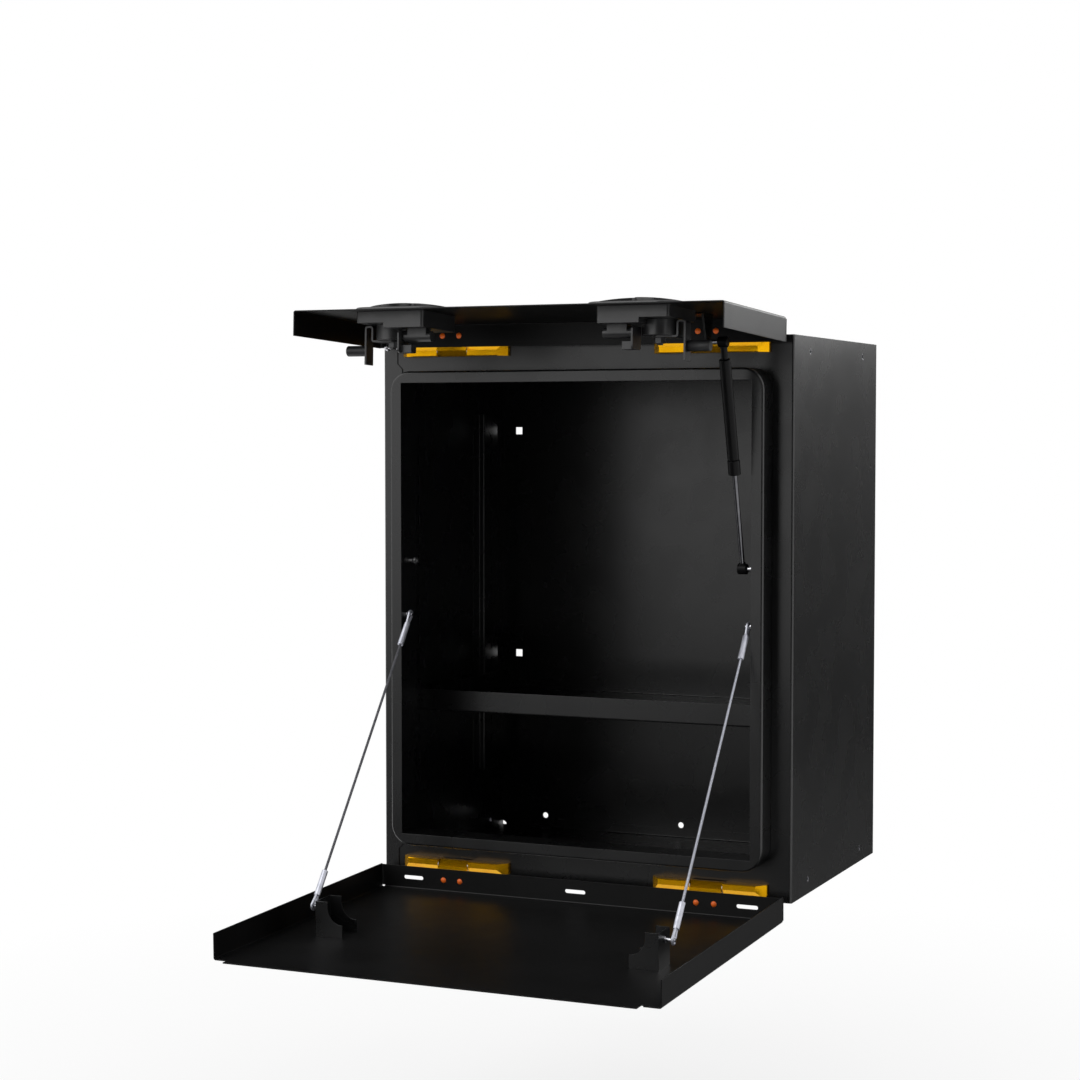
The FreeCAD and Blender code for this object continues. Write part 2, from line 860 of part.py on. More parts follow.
def socket(centre, along, mouth_side, neck_long):
    """A cup round a ball, open at one side for the stud, with a neck along the strut."""
    side = socket_r - 0.5
    cup = rod(centre - V(side, 0, 0), V(1, 0, 0), socket_r, 2 * side)
    rims = [e for e in cup.Edges if e.Closed and e.Curve.TypeId == "Part::GeomCircle"]
    cup = cup.makeFillet(1.5, rims)
    mouth = rod(centre, V(mouth_side, 0, 0), stud_neck_r + 1, 2 * socket_r)
    cavity = ball(ball_r + running_gap, centre).fuse(mouth)
    start = ball_r + 0.8
    neck = rod(centre + along * start, along, socket_neck_r, neck_long - start)
    return join([cup.cut(cavity), neck])


def strut_top_socket():
    top, low, along = strut_frame()
    return socket(top, along, -1, tube_from)


def strut_low_socket():
    top, low, along = strut_frame()
    return socket(low, along * -1, 1, socket_rise)


def strut_tube():
    top, low, along = strut_frame()
    tube = rod(top + along * tube_from, along, tube_r, tube_to - tube_from)
    rims = [e for e in tube.Edges if e.Closed and e.Curve.TypeId == "Part::GeomCircle"]
    tube = tube.makeFillet(1.5, rims)
    bore = rod(top + along * (tube_from + 5), along, rod_r + 1, tube_to)
    return tube.cut(bore)


def strut_gland():
    top, low, along = strut_frame()
    gland = rod(top + along * tube_to, along, gland_r, gland_to - tube_to)
    rims = [e for e in gland.Edges if e.Closed and e.Curve.TypeId == "Part::GeomCircle"]
    gland = gland.makeFillet(1.0, rims)
    return gland.cut(rod(top, along, rod_r + running_gap, 2 * gland_to))


def strut_rod():
    top, low, along = strut_frame()
    long = (low - top).Length
    start = tube_to - 10
    return rod(top + along * start, along, rod_r, long - socket_rise - start)


def ball_stud(centre, wall_x, gap):
    """A ball on a neck and a base that stands on the wall at wall_x."""
    sign = 1 if wall_x > centre.x else -1
    long = abs(wall_x - centre.x) - gap
    neck = rod(centre, V(sign, 0, 0), stud_neck_r, long)
    base_start = V(wall_x - sign * gap, centre.y, centre.z)
    base = rod(base_start, V(-sign, 0, 0), stud_base_r, stud_base_long)
    return join([ball(ball_r, centre), neck, base])


# Strut brackets inside the upper door, drawn with it closed
def strut_place():
    """Where the strut's upper ball lies when the upper door is closed."""
    turn = radians(upper_open)
    y = strut_top[0] - axis_y
    z = strut_top[1] - high_axis_z
    return axis_y + y * cos(turn) - z * sin(turn), high_axis_z + y * sin(turn) + z * cos(turn)


def strut_bracket():
    y, z = strut_place()
    skin = axis_y - skin_out + sheet
    t = strut_leg_thick
    near = z + strut_leg_near
    far = z - strut_leg_far
    foot = box(strut_foot_in, strut_leg_x, skin, skin + t, far, near)
    corners = [
        V(strut_leg_x, skin, far),
        V(strut_leg_x, y, z - strut_tip_r),
        V(strut_leg_x, y, z + strut_tip_r),
        V(strut_leg_x, skin, near),
    ]
    leg = Part.Face(Part.makePolygon(corners + corners[:1])).extrude(V(-t, 0, 0))
    end = rod(V(strut_leg_x, y, z), V(-1, 0, 0), strut_tip_r, t)
    return join([foot, leg, end])


def door_ball_stud():
    y, z = strut_place()
    return ball_stud(V(ball_x, y, z), strut_leg_x, 0.0)


# Latches, drawn on the closed upper door's right side: n is the height above the axis line
def latch_point(x, n, s):
    return V(x, axis_y - n, high_axis_z - s)


def latch_box(x0, x1, n0, n1, s0, s1):
    low = latch_point(x0, n0, s0)
    high = latch_point(x1, n1, s1)
    return box(low.x, high.x, low.y, high.y, low.z, high.z)


def latch_disc(x, s, n0, n1, radius):
    return rod(latch_point(x, n0, s), V(0, -1, 0), radius, n1 - n0)


def latch_housing():
    s0 = spindle_s - housing_half_s
    s1 = spindle_s + housing_half_s
    skin = skin_out
    plate = latch_box(
        latch_in_x, latch_out_x, skin, skin + latch_plate,
        spindle_s - latch_half_s, spindle_s + latch_half_s,
    )
    uprights = [e for e in plate.Edges if e.BoundBox.YLength > latch_plate - 0.1]
    plate = plate.makeFillet(latch_half_s * 0.45, uprights)
    plate = plate.makeFillet(2.5, edges_on_plane(plate, axis_y - skin - latch_plate))
    shallow = latch_box(housing_step_x, housing_out_x, housing_shallow, skin, s0, s1)
    deep = latch_box(housing_in_x, housing_step_x, housing_deep, skin, s0, s1)
    shell = join([shallow, deep])
    corners = [
        e for e in shell.Edges
        if e.BoundBox.YLength > 10 and e.BoundBox.XLength < 0.01 and e.BoundBox.ZLength < 0.01
        and abs(e.BoundBox.XMin - housing_step_x) > 1
    ]
    shell = shell.makeFillet(4.0, corners)
    w = housing_wall
    drum_room = latch_disc(
        spindle_x, spindle_s, housing_deep - 1, housing_shallow, drum_r + fit_gap
    )
    pocket_out_x = spindle_x - drum_r - fit_gap - w
    pocket = latch_box(
        housing_in_x + w, pocket_out_x, housing_deep + w, skin + latch_plate + 1, s0 + w, s1 - w
    )
    pocket_corners = [e for e in pocket.Edges if e.BoundBox.YLength > 10]
    pocket = pocket.makeFillet(4.0, pocket_corners)
    bore = latch_disc(spindle_x, spindle_s, 0, skin_out + 20, spindle_r + running_gap)
    return join([plate, shell]).cut(pocket).cut(drum_room).cut(bore)


def crown(slack):
    """The shallow dome that tops the rotor's head and the grip."""
    middle = (latch_in_x + latch_out_x) / 2
    return Part.makeSphere(crown_r, latch_point(middle, crown_top - crown_r - slack, spindle_s))


def grip_place():
    """Heights of the rotor's seat on the plate and of the grip's pivot above it."""
    seat = skin_out + latch_plate + fit_gap
    return seat, seat + head_floor + grip_lift + grip_pivot_r


def latch_rotor():
    """Head with a slot for the grip, spindle, drum and a threaded stub below the cam."""
    seat, pivot_n = grip_place()
    head = latch_disc(spindle_x, spindle_s, seat, crown_top + 1, head_r).common(crown(0))
    side = neck_half + fit_gap
    slot = latch_box(
        spindle_x - 2 * head_r, grip_pivot_x + grip_pivot_r + fit_gap,
        seat + head_floor, crown_top + 1, spindle_s - side, spindle_s + side,
    )
    spindle = latch_disc(spindle_x, spindle_s, drum_low, seat + head_floor, spindle_r)
    stub = latch_disc(spindle_x, spindle_s, nut_low - 2, drum_low, stub_r)
    drum = latch_disc(spindle_x, spindle_s, drum_low, housing_shallow - fit_gap, drum_r)
    pin_hole = rod(
        latch_point(grip_pivot_x, pivot_n, spindle_s - head_r), V(0, 0, -1), grip_pin_r, 2 * head_r
    )
    return join([head.cut(slot), spindle, stub, drum]).cut(pin_hole)


def latch_cam():
    """A strip bent to an arm, a hook over the frame's edge and a long leg."""
    top = drum_low
    low = top - cam_thick
    outer = cam_leg_x + cam_thick / 2
    inner = outer - cam_hook - cam_thick
    steps = [
        (spindle_x - cam_half, low),
        (inner + cam_thick, low),
        (inner + cam_thick, cam_leg_top - cam_thick),
        (outer - cam_thick, cam_leg_top - cam_thick),
        (outer - cam_thick, cam_leg_tip),
    ]
    base = [latch_point(x, n, spindle_s - cam_half) for x, n in steps]
    strip = folded(base, cam_thick, cam_thick + 1.5, V(0, 0, -2 * cam_half))
    bore = latch_disc(spindle_x, spindle_s, low - 1, top + 1, stub_r)
    rounder = latch_disc(spindle_x, spindle_s, low - 1, top + 1, cam_half)
    keep = latch_box(
        spindle_x, cam_leg_x + 40, cam_leg_tip - 5, 60, spindle_s - 40, spindle_s + 40
    )
    return strip.common(keep.fuse(rounder)).cut(bore)


def latch_roller(out_x):
    start_x = cam_leg_x + cam_thick / 2
    start = latch_point(start_x, roller_n, spindle_s)
    body = rod(start, V(1, 0, 0), roller_r, out_x - start_x)
    rims = [e for e in body.Edges if e.Closed and e.Curve.TypeId == "Part::GeomCircle"]
    rims = [e for e in rims if e.BoundBox.XMin > out_x - 0.01]
    return body.makeFillet(1.2, rims)


def latch_nut():
    low = latch_point(spindle_x, nut_low, spindle_s)
    corners = []
    for i in range(7):
        turn = i * pi / 3
        corners.append(low + V(nut_r * cos(turn), 0, nut_r * sin(turn)))
    nut = Part.Face(Part.makePolygon(corners)).extrude(V(0, nut_low - drum_low + cam_thick, 0))
    return nut.cut(latch_disc(spindle_x, spindle_s, nut_low - 1, drum_low, stub_r))


def latch_grip():
    """Folding grip: a neck on the pivot that widens to a two-finger tail under the crown."""
    seat, pivot_n = grip_place()
    under = seat + head_floor + grip_lift
    outline = [
        (grip_pivot_x, -neck_half),
        (grip_pivot_x, neck_half),
        (spindle_x - head_r - 2, neck_half),
        (spindle_x - head_r - 14, neck_half + 6),
        (tail_x + 12, tail_half),
        (tail_x, tail_half * 0.55),
        (tail_x, -tail_half * 0.55),
        (tail_x + 12, -tail_half),
        (spindle_x - head_r - 14, -neck_half - 6),
        (spindle_x - head_r - 2, -neck_half),
    ]
    corners = [latch_point(x, under, spindle_s + s) for x, s in outline]
    blade = Part.Face(Part.makePolygon(corners + corners[:1])).extrude(V(0, -9, 0))
    blade = blade.common(crown(0))
    start = latch_point(grip_pivot_x, pivot_n, spindle_s - neck_half)
    barrel = rod(start, V(0, 0, -1), grip_pivot_r, 2 * neck_half)
    low = latch_box(
        spindle_x - 3, grip_pivot_x + 1, under + 2 * grip_pivot_r, crown_top + 5,
        spindle_s - neck_half - 1, spindle_s + neck_half + 1,
    )
    bore = rod(start, V(0, 0, -1), grip_pin_r + running_gap, 2 * neck_half)
    return join([blade.cut(low), barrel]).cut(bore)


def grip_pin():
    seat, pivot_n = grip_place()
    reach = neck_half + 6
    start = latch_point(grip_pivot_x, pivot_n, spindle_s - reach)
    return rod(start, V(0, 0, -1), grip_pin_r, 2 * reach)


def lock_barrel():
    """Barrel under the housing with a plate across its end and a foot below the plate's edge."""
    n = lock_n
    body = rod(latch_point(lock_in_x, n, lock_s), V(1, 0, 0), lock_r, lock_out_x - lock_in_x)
    plate = latch_box(
        lock_plate_x, lock_plate_x + lock_plate_thick, lock_plate_low, lock_plate_high,
        lock_s - lock_plate_half, lock_s + lock_plate_half,
    )
    corners = [e for e in plate.Edges if e.BoundBox.XLength > lock_plate_thick - 0.1]
    plate = plate.makeFillet(lock_plate_half * 0.3, corners)
    neck = rod(latch_point(lock_out_x, n, lock_s), V(1, 0, 0), lock_r - 2, lock_plate_x - lock_out_x)
    foot = latch_box(lock_foot_x, lock_plate_x, lock_plate_low, -lock_r, lock_s - lock_r, lock_s + lock_r)
    saddle = latch_box(lock_in_x + 6, lock_out_x - 6, n, housing_deep, lock_s - lock_r, lock_s + lock_r)
    return join([body, plate, neck, foot, saddle])


# Files
def save(name, solids):
    if not isinstance(solids, list):
        solids = [solids]
    moved = []
    for solid in solids:
        copy = solid.copy()
        copy.translate(V(0, -depth, -hole_centre_z))
        moved += copy.Solids
    shape = moved[0] if len(moved) == 1 else Part.makeCompound(moved)
    shape.exportStep("parts/" + name + ".step")


def open_lower(shapes):
    return [swing(shape, lower_open, low_axis_z) for shape in shapes]


def open_upper(shapes):
    return [swing(shape, -upper_open, high_axis_z) for shape in shapes]


def split_sides(name, shape, opener):
    save(name + "_right", opener([shape]))
    save(name + "_left", opener([other_side(shape)]))


def as_is(shapes):
    return shapes


os.makedirs("parts", exist_ok=True)

save("side_panel_right", side_panel())
save("side_panel_left", other_side(side_panel()))
save("floor_panel", floor_panel())
save("roof_panel", flip_upside_down(floor_panel()))
save("back_panel", back_panel())
save("front_frame", front_frame())
save("side_inserts", side_inserts())
uprights = [upright(centre) for centre in upright_centres]
save("uprights_right", uprights)
save("uprights_left", [other_side(one) for one in uprights])
save("upright_rivets", upright_rivets())
save("shelf", shelf())
save("shelf_hooks", shelf_hooks())

save("lower_hinge_blocks", hinge_blocks())
save("upper_hinge_blocks", [flip_upside_down(one) for one in hinge_blocks()])
save("lower_hinge_pins", hinge_pins())
save("upper_hinge_pins", [flip_upside_down(one) for one in hinge_pins()])
save("lower_hinge_washers", hinge_washers())
save("upper_hinge_washers", [flip_upside_down(one) for one in hinge_washers()])
save("lower_door_knuckles", open_lower(door_knuckle()))
save("upper_door_knuckles", open_upper([flip_upside_down(one) for one in door_knuckle()]))
save("lower_hinge_rivets", open_lower(hinge_rivets()))
save("upper_hinge_rivets", open_upper([flip_upside_down(one) for one in hinge_rivets()]))

save("lower_door_pan", open_lower([lower_door_pan()]))
save("stay_brackets", open_lower(pair(stay_bracket())))
save("stay_pins", open_lower(pair(stay_pin())))
save("stay_studs", pair(stay_stud()))
low_eye, top_eye = rope_line()
save("stay_low_ends", pair(stay_end(low_eye, top_eye)))
split_sides("stay_top_end", stay_end(top_eye, low_eye), as_is)
split_sides("stay_rope", stay_rope(), as_is)

save("upper_door_pan", open_upper([upper_door_pan()]))
save("strut_brackets", open_upper(pair(strut_bracket())))
save("door_ball_studs", open_upper(pair(door_ball_stud())))
save("latch_housings", open_upper(pair(latch_housing())))
save("lock_barrels", open_upper(pair(lock_barrel())))
split_sides("latch_rotor", latch_rotor(), open_upper)
split_sides("latch_cam", latch_cam(), open_upper)
beside_strut_x = ball_x - tube_r - roller_strut_gap
save("latch_roller_right", open_upper([latch_roller(beside_strut_x)]))
save("latch_roller_left", open_upper([other_side(latch_roller(roller_out_x))]))
split_sides("latch_nut", latch_nut(), open_upper)
split_sides("latch_grip_pin", grip_pin(), open_upper)
split_sides("latch_grip", latch_grip(), open_upper)

save("strut_tube", strut_tube())
save("strut_gland", strut_gland())
save("strut_top_socket", strut_top_socket())
save("strut_rod", strut_rod())
save("strut_low_socket", strut_low_socket())
lower_ball = V(ball_x, strut_low[0], strut_low[1])
save("strut_low_stud", ball_stud(lower_ball, opening_half, fit_gap))
save("spare_ball_stud", other_side(ball_stud(lower_ball, opening_half, 0.0)))
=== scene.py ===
import json
from math import cos, pi, radians, sin

import bmesh
import bpy
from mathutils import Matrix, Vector


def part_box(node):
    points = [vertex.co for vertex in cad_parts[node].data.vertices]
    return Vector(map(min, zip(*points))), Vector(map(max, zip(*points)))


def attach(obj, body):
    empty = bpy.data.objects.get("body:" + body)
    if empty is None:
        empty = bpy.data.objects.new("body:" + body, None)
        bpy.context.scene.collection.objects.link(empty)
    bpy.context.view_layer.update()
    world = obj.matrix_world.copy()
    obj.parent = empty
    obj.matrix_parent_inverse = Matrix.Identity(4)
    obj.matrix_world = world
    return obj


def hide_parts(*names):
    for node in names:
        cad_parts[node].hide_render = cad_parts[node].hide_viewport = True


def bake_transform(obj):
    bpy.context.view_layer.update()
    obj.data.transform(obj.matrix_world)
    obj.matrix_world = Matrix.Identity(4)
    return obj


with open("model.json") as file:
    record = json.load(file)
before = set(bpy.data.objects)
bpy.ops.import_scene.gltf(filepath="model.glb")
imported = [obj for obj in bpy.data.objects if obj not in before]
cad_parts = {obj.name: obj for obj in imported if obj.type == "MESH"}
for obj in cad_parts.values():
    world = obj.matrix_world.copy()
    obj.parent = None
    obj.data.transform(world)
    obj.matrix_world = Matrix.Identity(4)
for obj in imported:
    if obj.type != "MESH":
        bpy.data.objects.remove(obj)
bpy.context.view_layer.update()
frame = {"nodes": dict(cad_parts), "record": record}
nodes = frame["nodes"]


def new_object(name, data):
    """An object with this data, linked to the scene."""
    made = bpy.data.objects.new(name, data)
    bpy.context.scene.collection.objects.link(made)
    return made


# Camera, fitted to the photograph's square frame. Lengths in the file are in metres,
# apart from the lens and its sensor, which are in millimetres; angles are in degrees
camera_place = (1.19392, -3.23538, 0.17357)
camera_down = 2.75
camera_turn = 23.83
camera_lens = 75.86
camera_sensor = 36.0
camera_reach = 60.0


def make_camera():
    data = bpy.data.cameras.new("camera")
    data.sensor_width = camera_sensor
    data.lens = camera_lens
    data.clip_end = camera_reach
    camera = new_object("camera", data)
    camera.location = camera_place
    camera.rotation_euler = (radians(90 - camera_down), 0.0, radians(camera_turn))
    bpy.context.scene.camera = camera


# Material helpers. The patches use the middle of the noise's range
patch_range = (0.3, 0.7)
relief_depth = 0.0003
edge_samples = 4


def add(tree, kind, **values):
    """A new node, with each value put on its input of that name or on the node itself."""
    node = tree.nodes.new(kind)
    for key, value in values.items():
        if key in node.inputs:
            node.inputs[key].default_value = value
        else:
            setattr(node, key, value)
    return node


def noise(tree, where, scale, detail):
    texture = add(tree, "ShaderNodeTexNoise", Scale=scale, Detail=detail, Roughness=0.5)
    tree.links.new(where, texture.inputs["Vector"])
    return texture.outputs["Fac"]


def span(tree, value, low, high, start, end):
    """The value's range from start to end, mapped to low to high."""
    ranged = tree.nodes.new("ShaderNodeMapRange")
    ranged.inputs["From Min"].default_value = start
    ranged.inputs["From Max"].default_value = end
    ranged.inputs["To Min"].default_value = low
    ranged.inputs["To Max"].default_value = high
    tree.links.new(value, ranged.inputs["Value"])
    return ranged.outputs["Result"]


def blend_colours(tree, value, first, second):
    ramp = tree.nodes.new("ShaderNodeValToRGB")
    for stop, position, colour in zip(ramp.color_ramp.elements, patch_range, (first, second)):
        stop.position = position
        stop.color = (*colour, 1.0)
    tree.links.new(value, ramp.inputs["Fac"])
    return ramp.outputs["Color"]


def surface(name, first, second, rough, metal=0.0, grain=700.0, bump=0.08, patch=14.0,
            stretch=(1.0, 1.0, 1.0), edge=0.0005, specular=0.5):
    """Two tones in soft patches, roughness that varies with them, a fine grain, eased edges."""
    material = bpy.data.materials.new(name)
    material.use_nodes = True
    tree = material.node_tree
    shader = tree.nodes["Principled BSDF"]
    place = tree.nodes.new("ShaderNodeTexCoord").outputs["Object"]
    mapping = add(tree, "ShaderNodeMapping", Scale=stretch)
    tree.links.new(place, mapping.inputs["Vector"])
    patches = noise(tree, place, patch, 3.0)
    fine = noise(tree, mapping.outputs["Vector"], grain, 2.0)
    tree.links.new(blend_colours(tree, patches, first, second), shader.inputs["Base Color"])
    tree.links.new(span(tree, patches, *rough, *patch_range), shader.inputs["Roughness"])
    shader.inputs["Metallic"].default_value = metal
    shader.inputs["Specular IOR Level"].default_value = specular
    relief = add(tree, "ShaderNodeBump", Strength=bump, Distance=relief_depth)
    tree.links.new(fine, relief.inputs["Height"])
    if edge:
        eased = add(tree, "ShaderNodeBevel", samples=edge_samples, Radius=edge)
        tree.links.new(eased.outputs["Normal"], relief.inputs["Normal"])
    tree.links.new(relief.outputs["Normal"], shader.inputs["Normal"])
    return material


def dress(material, *names):
    for name in names:
        node = nodes[name]
        node.data.materials.clear()
        node.data.materials.append(material)


# Materials: two tones and a range of roughness each
coat = surface("black_coat", (0.0032, 0.0033, 0.0035), (0.0044, 0.0045, 0.0048), (0.24, 0.30),
               bump=0.04, specular=0.72)
# A darker, less glossy copy of the black coat for the door pans: painted shade on the same powder
# coat as the cabinet
door_coat_painted_shade = surface("door_coat_painted_shade", (0.0018, 0.0018, 0.0019), (0.0027, 0.0027, 0.0029), (0.36, 0.42),
                    bump=0.05, specular=0.32)
gold = surface("hinge_gold", (1.0, 0.52, 0.003), (0.97, 0.45, 0.003), (0.20, 0.26), metal=0.78,
               specular=0.1, grain=900.0, bump=0.01, patch=60.0, stretch=(0.08, 1.0, 1.0), edge=0.0)
orange = surface("rivet_orange", (0.95, 0.17, 0.012), (0.84, 0.13, 0.010), (0.30, 0.42),
                 patch=300.0)
zinc = surface("bright_zinc", (0.74, 0.74, 0.77), (0.62, 0.62, 0.66), (0.18, 0.30), metal=1.0,
               grain=900.0, patch=90.0)
rope_steel = surface("rope_steel", (0.55, 0.56, 0.62), (0.40, 0.41, 0.46), (0.25, 0.38),
                     metal=0.9, patch=400.0, edge=0.0)
# A darker copy of the rope steel, for the left stay: painted shade on the same wire rope as the
# right stay
rope_painted_shade = surface("rope_painted_shade", (0.15, 0.15, 0.165), (0.10, 0.10, 0.11), (0.30, 0.42),
                    metal=0.9, patch=400.0, edge=0.0)
ferrule_metal = surface("ferrule_metal", (0.66, 0.67, 0.74), (0.52, 0.53, 0.60), (0.28, 0.42),
                        metal=0.7, grain=800.0, patch=120.0)
satin = surface("black_metal", (0.013, 0.013, 0.0135), (0.019, 0.019, 0.020), (0.30, 0.42),
                grain=1100.0, bump=0.06, patch=45.0, specular=0.75)
plastic = surface("black_plastic", (0.012, 0.012, 0.013), (0.017, 0.017, 0.018), (0.40, 0.52),
                  grain=1500.0, bump=0.14, patch=60.0)
rod_dark = surface("rod_dark", (0.17, 0.17, 0.18), (0.12, 0.12, 0.13), (0.10, 0.18), metal=1.0,
                   grain=600.0, bump=0.02, patch=80.0)
strut_black = surface("strut_black", (0.0022, 0.0022, 0.0024), (0.0032, 0.0032, 0.0035),
                      (0.30, 0.38), grain=1500.0, bump=0.05, patch=60.0, specular=0.14)

slots = {
    "black_coat": coat,
    "hinge_gold": gold,
    "rivet_orange": orange,
    "bright_zinc": zinc,
    "rope_steel": rope_steel,
    "ferrule_metal": ferrule_metal,
    "black_metal": satin,
    "black_plastic": plastic,
    "rod_dark": rod_dark,
}
for part in frame["record"]["subparts"]:
    dress(slots[part["material_slot"]], part["node"])
# The door pans take the darker coat copy: painted shade
dress(door_coat_painted_shade, "lower_door_pan", "upper_door_pan")
# The spare ball stud takes the black satin metal: painted shade, the stud itself being bright metal
# like its fellow
dress(satin, "spare_ball_stud")
dress(strut_black, "strut_tube", "strut_gland", "strut_top_socket", "strut_low_socket")


# Wire ropes of the lower door's stays: depth and height of each eye, and how far an eye
# with its ferrule reaches.
eye_x = 0.247
eye_low = (-0.69494, -0.43759)
eye_top = (-0.4194, -0.0818)
end_reach = 0.049
rope_radius = 0.0018
rope_strands = 6
rope_sides = 6
rope_pitch = 0.022
steps_in_pitch = 14
strand_share = 0.345
core_share = 0.5


def spline_points(points):
    """The points of a smooth spline whose control points are given."""
    curve = bpy.data.curves.new("route", "CURVE")
    curve.dimensions = "3D"
    curve.resolution_u = 24
    spline = curve.splines.new("NURBS")
    spline.points.add(len(points) - 1)
    for point, place in zip(spline.points, points):
        point.co = (*place, 1.0)
    spline.order_u = 3
    spline.use_endpoint_u = True
    holder = new_object("route", curve)
    bpy.context.view_layer.update()
    mesh = bpy.data.meshes.new_from_object(holder)
    line = [vertex.co.copy() for vertex in mesh.vertices]
    bpy.data.objects.remove(holder)
    return line


def along_line(line, count):
    """Places at equal distances along a line of points, and the line's length."""
    lengths = [0.0]
    for a, b in zip(line, line[1:]):
        lengths.append(lengths[-1] + (b - a).length)
    places = []
    i = 0
    for k in range(count + 1):
        wanted = lengths[-1] * k / count
        while i < len(line) - 2 and lengths[i + 1] < wanted:
            i += 1
        share = (wanted - lengths[i]) / max(lengths[i + 1] - lengths[i], 1e-9)
        places.append(line[i].lerp(line[i + 1], min(max(share, 0.0), 1.0)))
    return places, lengths[-1]


def rope_mesh(name, line):
    """Strands laid in a helix round a core, as one mesh."""
    length = along_line(line, 1)[1]
    steps = int(length / rope_pitch * steps_in_pitch)
    places, total = along_line(line, steps)
    thick = rope_radius * strand_share
    lay = rope_radius - thick
    vertices, faces = [], []
    core = -1
    for strand in range(core, rope_strands):
        first = len(vertices)
        for i, centre in enumerate(places):
            ahead = places[min(i + 1, steps)]
            behind = places[max(i - 1, 0)]
            forward = (ahead - behind).normalized()
            side = forward.cross(Vector((1, 0, 0))).normalized()
            up = side.cross(forward)
            turn = 2 * pi * (total * i / steps / rope_pitch + strand / rope_strands)
            out = side * cos(turn) + up * sin(turn)
            middle = centre if strand == core else centre + out * lay
            wide = rope_radius * core_share if strand == core else thick
            for k in range(rope_sides):
                angle = 2 * pi * k / rope_sides
                vertices.append(middle + (side * cos(angle) + up * sin(angle)) * wide)
        for i in range(steps):
            for k in range(rope_sides):
                a = first + i * rope_sides + k
                b = first + i * rope_sides + (k + 1) % rope_sides
                faces.append((a, b, b + rope_sides, a + rope_sides))
        faces.append([first + k for k in reversed(range(rope_sides))])
        faces.append([first + steps * rope_sides + k for k in range(rope_sides)])
    mesh = bpy.data.meshes.new(name)
    mesh.from_pydata(vertices, [], faces)
    mesh.polygons.foreach_set("use_smooth", [True] * len(mesh.polygons))
    return new_object(name, mesh)


def stay(side, sign, metal):
    """The bare rope between the two ferrules of one stay."""
    low = Vector((sign * eye_x, *eye_low))
    top = Vector((sign * eye_x, *eye_top))
    along = (low - top).normalized()
    start = top + along * end_reach
    end = low - along * end_reach
    route = [start.lerp(end, share) for share in (0.0, 0.33, 0.67, 1.0)]
    line = spline_points(route)
    rope = rope_mesh("wire_rope_" + side, line)
    rope.data.materials.append(metal)
    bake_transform(rope)
    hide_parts("stay_rope_" + side)


# Roller of the right latch, as long as the photograph shows it: it reaches as far out
# as the left one
roller_rim = 0.0012
rim_steps = 6
roller_sides = 48


def roller_profile(low_x, reach, radius):
    """From the centre of one end, along the barrel and its rounded rim, to the other centre."""
    profile = [(low_x, 0.0), (low_x, radius)]
    for i in range(rim_steps + 1):
        turn = i / rim_steps * pi / 2
        x = reach - roller_rim + roller_rim * sin(turn)
        profile.append((x, radius - roller_rim + roller_rim * cos(turn)))
    profile.append((reach, 0.0))
    return profile


def long_roller():
    low, high = (Vector(v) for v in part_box("latch_roller_right"))
    centre = (low + high) / 2
    radius = (high.z - low.z) / 2
    reach = -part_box("latch_roller_left")[0][0]
    lathe = bmesh.new()
    rings = []
    for x, r in roller_profile(low.x, reach, radius):
        ring = []
        for k in range(1 if r == 0.0 else roller_sides):
            angle = 2 * pi * k / roller_sides
            ring.append(lathe.verts.new((x, centre.y + r * cos(angle), centre.z + r * sin(angle))))
        rings.append(ring)
    for a, b in zip(rings, rings[1:]):
        for k in range(roller_sides):
            corners = [a[k % len(a)], a[(k + 1) % len(a)], b[(k + 1) % len(b)], b[k % len(b)]]
            lathe.faces.new(list(dict.fromkeys(corners)))
    bmesh.ops.recalc_face_normals(lathe, faces=lathe.faces[:])
    mesh = bpy.data.meshes.new("long_roller_right")
    lathe.to_mesh(mesh)
    lathe.free()
    mesh.polygons.foreach_set("use_smooth", [len(p.vertices) == 4 for p in mesh.polygons])
    mesh.materials.append(plastic)
    roller = new_object("long_roller_right", mesh)
    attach(roller, "latch_right")
    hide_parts("latch_roller_right")


# Studio: the floor turns from its own tone to white between two distances from its middle
white = (1.0, 1.0, 1.0, 1.0)
room_strength = 0.75
floor_place = (0.0, -0.4, -0.78)
floor_radius = 4.0
floor_tone = 0.86
fade_share = (0.78, 1.0)
fade_distance = (0.5, 1.6)
card_foot = -0.775


def either(tree, first, second):
    """Whether one ray or the other applies."""
    larger = add(tree, "ShaderNodeMath", operation="MAXIMUM")
    tree.links.new(first, larger.inputs[0])
    tree.links.new(second, larger.inputs[1])
    return larger.outputs[0]


def mix_surfaces(tree, out_node, plain, bright, factor):
    mix = tree.nodes.new("ShaderNodeMixShader")
    tree.links.new(factor, mix.inputs["Fac"])
    tree.links.new(plain, mix.inputs[1])
    tree.links.new(bright, mix.inputs[2])
    tree.links.new(mix.outputs["Shader"], out_node.inputs["Surface"])


def stage_material(name):
    """A material with nothing in it but its output node."""
    material = bpy.data.materials.new(name)
    material.use_nodes = True
    tree = material.node_tree
    tree.nodes.clear()
    return material, tree, tree.nodes.new("ShaderNodeOutputMaterial")


def make_world():
    world = bpy.data.worlds.new("studio")
    bpy.context.scene.world = world
    world.use_nodes = True
    tree = world.node_tree
    plain = tree.nodes["Background"]
    plain.inputs["Color"].default_value = white
    plain.inputs["Strength"].default_value = room_strength
    bright = add(tree, "ShaderNodeBackground", Color=white, Strength=1.0)
    path = tree.nodes.new("ShaderNodeLightPath")
    seen = either(tree, path.outputs["Is Camera Ray"], path.outputs["Is Glossy Ray"])
    any_of = either(tree, seen, path.outputs["Is Transmission Ray"])
    mix_surfaces(tree, tree.nodes["World Output"], plain.outputs[0], bright.outputs[0], any_of)


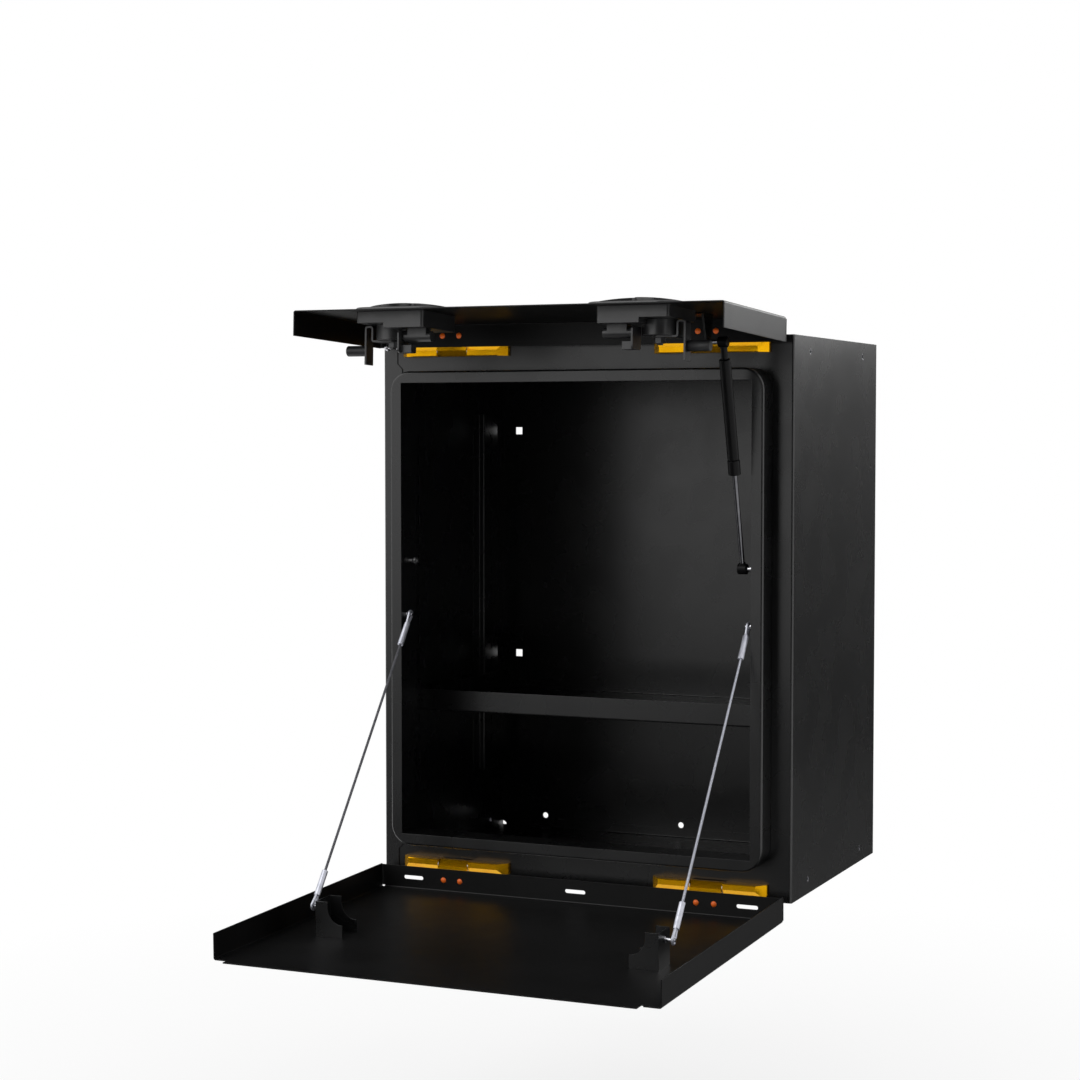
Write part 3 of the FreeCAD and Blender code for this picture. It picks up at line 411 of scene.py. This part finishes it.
def make_floor():
    """A pale floor that fades to the white background before its edge."""
    bpy.ops.mesh.primitive_circle_add(
        vertices=96, radius=floor_radius, fill_type="NGON", location=floor_place
    )
    floor = bpy.context.object
    floor.name = "floor"
    material, tree, out = stage_material("floor")
    tone = (floor_tone, floor_tone, floor_tone, 1.0)
    diffuse = add(tree, "ShaderNodeBsdfDiffuse", Color=tone)
    bright = add(tree, "ShaderNodeEmission", Color=white, Strength=1.0)
    path = tree.nodes.new("ShaderNodeLightPath")
    place = tree.nodes.new("ShaderNodeTexCoord").outputs["Object"]
    length = add(tree, "ShaderNodeVectorMath", operation="LENGTH")
    tree.links.new(place, length.inputs[0])
    faded = span(tree, length.outputs["Value"], *fade_share, *fade_distance)
    seen = either(tree, path.outputs["Is Camera Ray"], path.outputs["Is Glossy Ray"])
    share = add(tree, "ShaderNodeMath", operation="MULTIPLY")
    tree.links.new(faded, share.inputs[0])
    tree.links.new(seen, share.inputs[1])
    mix_surfaces(tree, out, diffuse.outputs[0], bright.outputs[0], share.outputs[0])
    floor.data.materials.append(material)


def area_light(name, place, target, size, power):
    data = bpy.data.lights.new(name, "AREA")
    data.shape = "RECTANGLE"
    data.size, data.size_y = size
    data.energy = power
    lamp = new_object(name, data)
    lamp.location = place
    towards = Vector(target) - Vector(place)
    lamp.rotation_euler = towards.to_track_quat("-Z", "Y").to_euler()


def studio_card(name, corners, tones):
    """A card outside the picture that only reflections see, its tone given by its height."""
    mesh = bpy.data.meshes.new(name)
    mesh.from_pydata(corners, [], [(0, 1, 2, 3)])
    card = new_object(name, mesh)
    material, tree, out = stage_material(name)
    glow = add(tree, "ShaderNodeEmission", Strength=1.0)
    tree.links.new(glow.outputs[0], out.inputs["Surface"])
    place = tree.nodes.new("ShaderNodeTexCoord").outputs["Object"]
    parts = tree.nodes.new("ShaderNodeSeparateXYZ")
    tree.links.new(place, parts.inputs[0])
    low, high = tones[0][0], tones[-1][0]
    share = span(tree, parts.outputs["Z"], 0.0, 1.0, low, high)
    ramp = tree.nodes.new("ShaderNodeValToRGB")
    stops = ramp.color_ramp.elements
    while len(stops) < len(tones):
        stops.new(0.5)
    for stop, (height, tone) in zip(stops, tones):
        stop.position = (height - low) / (high - low)
        stop.color = (tone, tone, tone, 1.0)
    tree.links.new(share, ramp.inputs["Fac"])
    tree.links.new(ramp.outputs["Color"], glow.inputs["Color"])
    mesh.materials.append(material)
    card.visible_camera = False
    card.visible_diffuse = False
    card.visible_shadow = False


def even(tone):
    """One tone at every height."""
    return [(-1.0, tone), (1.0, tone)]


def upright(left, right, y, low, high):
    """The corners of a card that stands square to the depth axis."""
    return [(left, y, low), (right, y, low), (right, y, high), (left, y, high)]


def make_cards():
    """Cards right of the box, in front of it, behind it on the left and above, and on the floor."""
    dark = even(0.01)
    studio_card(
        "card_right",
        [(0.33, 0.6, card_foot), (3.6, 3.4, card_foot), (3.6, 3.4, 0.42), (0.33, 0.6, 0.34)],
        [(card_foot, 0.11), (-0.35, 0.04), (0.0, 0.085), (0.2, 0.14), (0.42, 0.30)],
    )
    studio_card("card_front", upright(-0.30, 3.6, -3.4, -1.2, 2.6), dark)
    studio_card("card_left", upright(-3.4, -0.36, 1.1, -0.7, 1.0), dark)
    studio_card("card_top", upright(-3.0, 0.5, 1.3, 1.0, 3.4), dark)
    studio_card(
        "card_floor",
        [(x, y, card_foot) for x, y in ((0.32, -1.0), (1.8, -1.0), (1.8, 1.6), (0.32, 1.6))],
        even(0.12),
    )
    studio_card(
        "card_floor_front",
        [(x, y, card_foot) for x, y in ((-4.5, -6.5), (0.6, -6.5), (0.6, -0.95), (-2.6, -0.95))],
        even(0.10),
    )


make_camera()
stay("right", 1, rope_steel)
# The left rope takes the darker rope copy: painted shade, the same steel as the right rope
stay("left", -1, rope_painted_shade)
long_roller()
make_world()
make_floor()
area_light("key", place=(-1.6, -3.0, 2.4), target=(0.0, -0.4, 0.0), size=(3.0, 3.0), power=42.0)
area_light("rim", place=(1.3, 2.0, 0.95), target=(0.3, -0.4, 0.35), size=(1.4, 0.5), power=14.0)
make_cards()

bpy.context.scene.view_settings.view_transform = "Standard"
